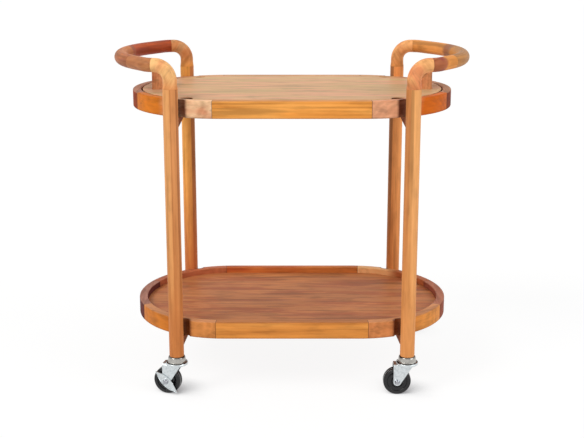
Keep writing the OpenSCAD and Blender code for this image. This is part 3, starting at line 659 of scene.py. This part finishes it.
def lever_mesh():
    """Dished leaf with a rolled edge, a boss about the axle and a shoe over the tread."""
    half_span = (LEVER_REACH + LEVER_TAIL) / 2
    edge = (half_span ** 2 + LEVER_HALF ** 2) / (2 * LEVER_HALF)

    def inside(x, y):
        lens = math.hypot(x - LEVER_REACH + half_span, abs(y) + edge - LEVER_HALF) < edge
        tips = min(math.hypot(x - LEVER_REACH, y), math.hypot(x + LEVER_TAIL, y)) < LEVER_TIP
        return lens or tips

    # Rays from the axle, closer together at the tips, and the outline found along each by halving
    steps, rays, points = 160, [], []
    for k in range(steps):
        a = 2 * math.pi * k / steps
        a -= 0.42 * math.sin(2 * a)
        near, far = 0.0, 0.05
        for _ in range(30):
            mid = (near + far) / 2
            if inside(mid * math.cos(a), mid * math.sin(a)):
                near = mid
            else:
                far = mid
        rays.append(Vector((math.cos(a), math.sin(a))))
        points.append(rays[-1] * near)
    normals = []
    for k in range(steps):
        run = points[(k + 1) % steps] - points[k - 1]
        normals.append(Vector((run.y, -run.x)).normalized())

    bm = bmesh.new()
    crest, dish = LEVER_OUT + LEVER_CREST, LEVER_OUT - LEVER_DISH
    rings = []
    for inset, height in ((0, LEVER_IN), (0, crest - 0.0004), (0.0003, crest), (0.0012, crest),
                          (0.0018, dish)):
        rings.append([bm.verts.new((*(p - n * inset), height)) for p, n in zip(points, normals)])
    for r, height in ((0.0076, dish), (0.0070, LEVER_OUT), (LEVER_BORE, LEVER_OUT),
                      (LEVER_BORE, LEVER_IN)):
        rings.append([bm.verts.new((d.x * r, d.y * r, height)) for d in rays])
    for one, two in zip(rings, rings[1:] + rings[:1]):
        for k in range(steps):
            bm.faces.new((one[k], one[(k + 1) % steps], two[(k + 1) % steps], two[k]))
    x, y = LEVER_REACH, LEVER_TIP - 0.0003
    slab(bm, [(x, -y), (x + SHOE_T, -y), (x + SHOE_T, y), (x, y)], LEVER_IN - SHOE_DROP, LEVER_OUT)
    return bm


# Side, end, turn about the swivel in degrees, and whether there is a brake lever
CASTERS = {
    "front_left": (LEFT, FRONT, -15, True), "front_right": (RIGHT, FRONT, 0, False),
    "back_left": (LEFT, BACK, 0, False), "back_right": (RIGHT, BACK, 180, True)}
for caster, (side, end, turn, braked) in CASTERS.items():
    place = (Matrix.Translation((side * POST_X, end * POST_Y, 0))
             @ Matrix.Rotation(math.radians(turn), 4, "Z"))
    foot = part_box(f"post_{caster}")[0][2]
    finished(cup_mesh(foot), f"swivel_cup_{caster}", place, CHROME, "frame", "zinc",
             f"caster_{caster}_stem", bevel=0.0003)
    finished(wheel_mesh(), f"wheel_{caster}", place @ AXLE, BLACK, f"wheel_{caster}", "wheel",
             f"caster_{caster}_wheel")
    finished(fork_mesh(), f"fork_{caster}", place, ZINC, f"fork_{caster}", "zinc",
             f"caster_{caster}_fork", bevel=0.0004)
    paint(f"caster_{caster}_axle", BOLT)
    if braked:
        finished(lever_mesh(), f"brake_leaf_{caster}",
                 place @ AXLE @ Matrix.Rotation(-LEVER_SLOPE, 4, "Z"), ZINC, f"brake_{caster}",
                 "zinc", f"brake_lever_{caster}", bevel=0.0003)

# Floor and white surroundings: reach and direction of the close shadow, glow and greys of the
# floor for the camera and for the light on the object, and the light of the sky
FLOOR_HALF = 14
NEAR_REACH, NEAR_LEAN = 0.09, (-0.56, -0.70, 0.44)
FLOOR_GLOW, FLOOR_GREY, BOUNCE_GREY = 0.90, (0.12, 0.12, 0.12, 1.0), (0.8, 0.8, 0.8, 1.0)
SKY, SKY_STRENGTH = (1.0, 0.99, 0.975, 1.0), 0.50


def camera_side(s):
    """1 for what the camera, metal and glass see, 0 for the light on the object."""
    path = s.node("LightPath").outputs
    seen = s.math("MAXIMUM", path["Is Camera Ray"], path["Is Glossy Ray"])
    return s.math("MAXIMUM", seen, path["Is Transmission Ray"])


def floor_material():
    """Pale floor that takes the shadow and darkens close under the object."""
    s = Shader(bpy.data.materials.new("pale_floor"))
    near = s.node("AmbientOcclusion", samples=16)
    near.inputs["Distance"].default_value = NEAR_REACH
    s.put(near.inputs["Normal"], s.joined(*NEAR_LEAN))
    colour = s.mix(s.span(near.outputs["AO"], 0.45, 1.0), srgb(150, 150, 152), WHITE)
    glow = s.fed(s.node("Emission"), colour, FLOOR_GLOW)
    shown = s.fed(s.node("AddShader"), s.fed(s.node("BsdfDiffuse"), FLOOR_GREY), glow)
    bounce = s.fed(s.node("BsdfDiffuse"), BOUNCE_GREY)
    pick = s.fed(s.node("MixShader"), camera_side(s), bounce, shown)
    s.put(s.node("OutputMaterial").inputs[0], pick)
    return s.owner


bm = bmesh.new()
bm.faces.new([bm.verts.new((x * FLOOR_HALF, y * FLOOR_HALF, 0.0))
              for x, y in ((-1, -1), (1, -1), (1, 1), (-1, 1))])
floor = placed_mesh(bm, "floor", floor_material())

world = bpy.data.worlds.new("studio")
bpy.context.scene.world = world
s = Shader(world)
lit = s.fed(s.node("Background"), SKY, SKY_STRENGTH)
seen = s.fed(s.node("Background"), WHITE, 1.0)
s.put(s.node("OutputWorld").inputs[0], s.fed(s.node("MixShader"), camera_side(s), lit, seen))


def sun(name, direction, strength, angle, colour=(1, 1, 1)):
    lamp = bpy.data.lights.new(name, "SUN")
    lamp.energy = strength
    lamp.angle = math.radians(angle)
    lamp.color = colour
    placed(name, lamp).rotation_euler = Vector(direction).to_track_quat("-Z", "Y").to_euler()


sun("key", (0.85, 0.60, -0.90), 1.45, 22, (1.0, 0.985, 0.96))
sun("fill", (-0.95, 0.45, -0.65), 0.95, 34)

# Camera, tilted down in degrees
CAMERA_PLACE, CAMERA_TILT = (0.0, -2.632, 1.076), 13.52
data = bpy.data.cameras.new("camera")
data.lens = 68.25
data.sensor_width = 36.0
data.shift_y = -0.05
data.clip_end = 60.0
camera = placed("camera", data)
camera.location = CAMERA_PLACE
camera.rotation_euler = (math.radians(90 - CAMERA_TILT), 0.0, 0.0)
bpy.context.scene.camera = camera
bpy.context.scene.view_settings.view_transform = "Standard"
